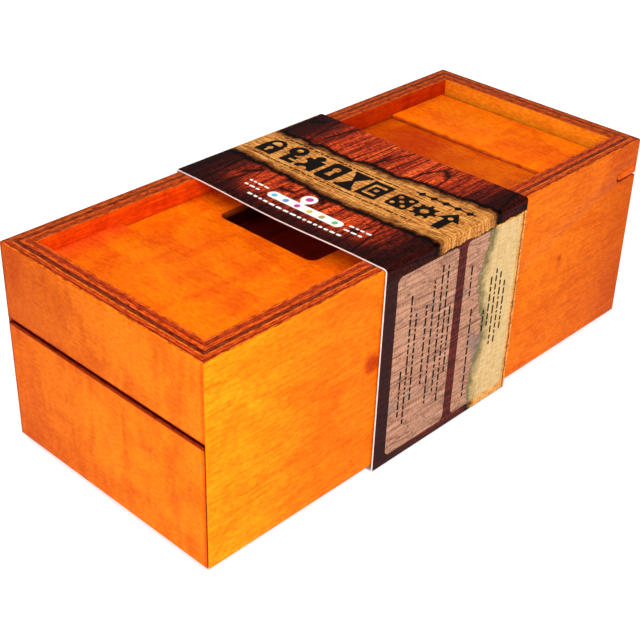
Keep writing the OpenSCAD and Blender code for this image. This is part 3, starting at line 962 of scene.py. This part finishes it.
def flat_sheet(regions):
    """The unfolded card, cut along a grid and every printed outline: its points and its faces."""
    rows = []
    for i in range(4):
        start = i // 2 * (TOP_RUN + SIDE_RUN + 2 * BEND) + i % 2 * (TOP_RUN + BEND)
        run = (TOP_RUN, SIDE_RUN)[i % 2]
        rows += [start + run * k / FLAT_STEPS for k in range(FLAT_STEPS)]
        rows += [start + run + BEND * k / BEND_STEPS for k in range(BEND_STEPS)]
    rows.append(ROUND)
    points = [Vector((u, v)) for v in rows for u in COLUMNS]
    wide = len(COLUMNS)
    edges = [(r * wide + c, (r + 1) * wide + c) for r in range(len(rows) - 1) for c in (0, wide - 1)]
    ends = [0, len(rows) - 1]
    bends = [r for r in range(len(rows)) if r % (FLAT_STEPS + BEND_STEPS) >= FLAT_STEPS]
    for r in ends + bends:
        edges.extend((r * wide + c, r * wide + c + 1) for c in range(wide - 1))
    for parts in regions.values():
        for _, outline in parts:
            first, count = len(points), len(outline)
            points.extend(Vector(p) for p in outline)
            edges.extend((first + i, first + (i + 1) % count) for i in range(count))
    verts, _, faces, *_ = geometry.delaunay_2d_cdt(points, edges, [], 0, 1e-5, False)
    return verts, faces


def inside(point, outline):
    """Whether a point is inside a closed outline."""
    x, y = point
    found = False
    for (x0, y0), (x1, y1) in zip(outline, outline[1:] + outline[:1]):
        if (y0 > y) != (y1 > y) and x < (x1 - x0) * (y - y0) / (y1 - y0) + x0:
            found = not found
    return found


def with_boxes(regions):
    """The regions with each outline's lowest and highest corner, so that most can be passed over quickly."""
    return {
        name: [(way, outline, *map(min, zip(*outline)), *map(max, zip(*outline))) for way, outline in parts]
        for name, parts in regions.items()
    }


def region_at(point, boxed):
    """The name of the last region printed at a point, or art where nothing is."""
    found = "art"
    for name, parts in boxed.items():
        on = False
        for way, outline, u0, v0, u1, v1 in parts:
            if u0 <= point[0] <= u1 and v0 <= point[1] <= v1 and inside(point, outline):
                on = way == "add"
        if on:
            found = name
    return found


def fold_printed_face(bm, verts, faces, regions, slots):
    """Folds the flat faces into the card's outer side, and returns its vertices in the order of verts."""
    uv_layer = bm.loops.layers.uv.new("print")
    boxed = with_boxes(regions)
    seam = {}
    outer = []
    for u, v in verts:
        key = round(u, 4)
        if v > ROUND - TOUCH:
            outer.append(seam[key])
            continue
        outer.append(bm.verts.new(on_card(u, v)))
        if v < TOUCH:
            seam[key] = outer[-1]
    for face in faces:
        flat = [verts[i] for i in face]
        middle = [sum(c) / len(flat) for c in zip(*flat)]
        made = bm.faces.new([outer[i] for i in face])
        made.material_index = slots.index(region_at(middle, boxed))
        for loop, p in zip(made.loops, flat):
            loop[uv_layer].uv = p / PRINT_UNIT
    return outer


def add_inner_face(bm, rounds, material):
    """The bare inner side, as a ring of vertices at each of the distances in rounds."""
    rings = []
    for v in rounds:
        rings.append([bm.verts.new(on_card(u, v, CARD_T)) for u in COLUMNS])
    for ring, after in zip(rings, rings[1:] + rings[:1]):
        for c in range(COLUMN_STEPS):
            made = bm.faces.new((ring[c], ring[c + 1], after[c + 1], after[c]))
            made.material_index = material
    return rings


def add_cut_edges(bm, verts, outer, rounds, rings, material):
    """The white edges between the outer and the inner side, at both ends of the sleeve."""
    for column, u in ((0, 0.0), (-1, SLEEVE_L)):
        rim = {round(p[1], 5): outer[i] for i, p in enumerate(verts) if abs(p[0] - u) < TOUCH}
        for r, v in enumerate(rounds):
            after = (r + 1) % len(rounds)
            corners = (rim[v], rim[rounds[after]], rings[after][column], rings[r][column])
            bm.faces.new(corners).material_index = material


def add_card():
    """The sleeve as one folded strip of card: a printed face, a bare inner face and white cut edges."""
    regions = print_regions()
    materials = card_materials()
    slots = list(materials)
    verts, faces = flat_sheet(regions)
    rounds = sorted({round(p[1], 5) for p in verts if p[0] < TOUCH})[:-1]
    bm = bmesh.new()
    outer = fold_printed_face(bm, verts, faces, regions, slots)
    rings = add_inner_face(bm, rounds, slots.index("inner"))
    add_cut_edges(bm, verts, outer, rounds, rings, slots.index("core"))
    bmesh.ops.recalc_face_normals(bm, faces=bm.faces)
    mesh = bpy.data.meshes.new("printed_card")
    bm.to_mesh(mesh)
    bm.free()
    mesh.polygons.foreach_set("use_smooth", [True] * len(mesh.polygons))
    mesh.set_sharp_from_angle(angle=math.radians(40))
    for material in materials.values():
        mesh.materials.append(material)
    card = bpy.data.objects.new("printed_card_sleeve", mesh)
    bpy.context.scene.collection.objects.link(card)
    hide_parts("card_sleeve")
    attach(card, "card_sleeve")


add_camera()
add_studio()
add_boards()
add_card()
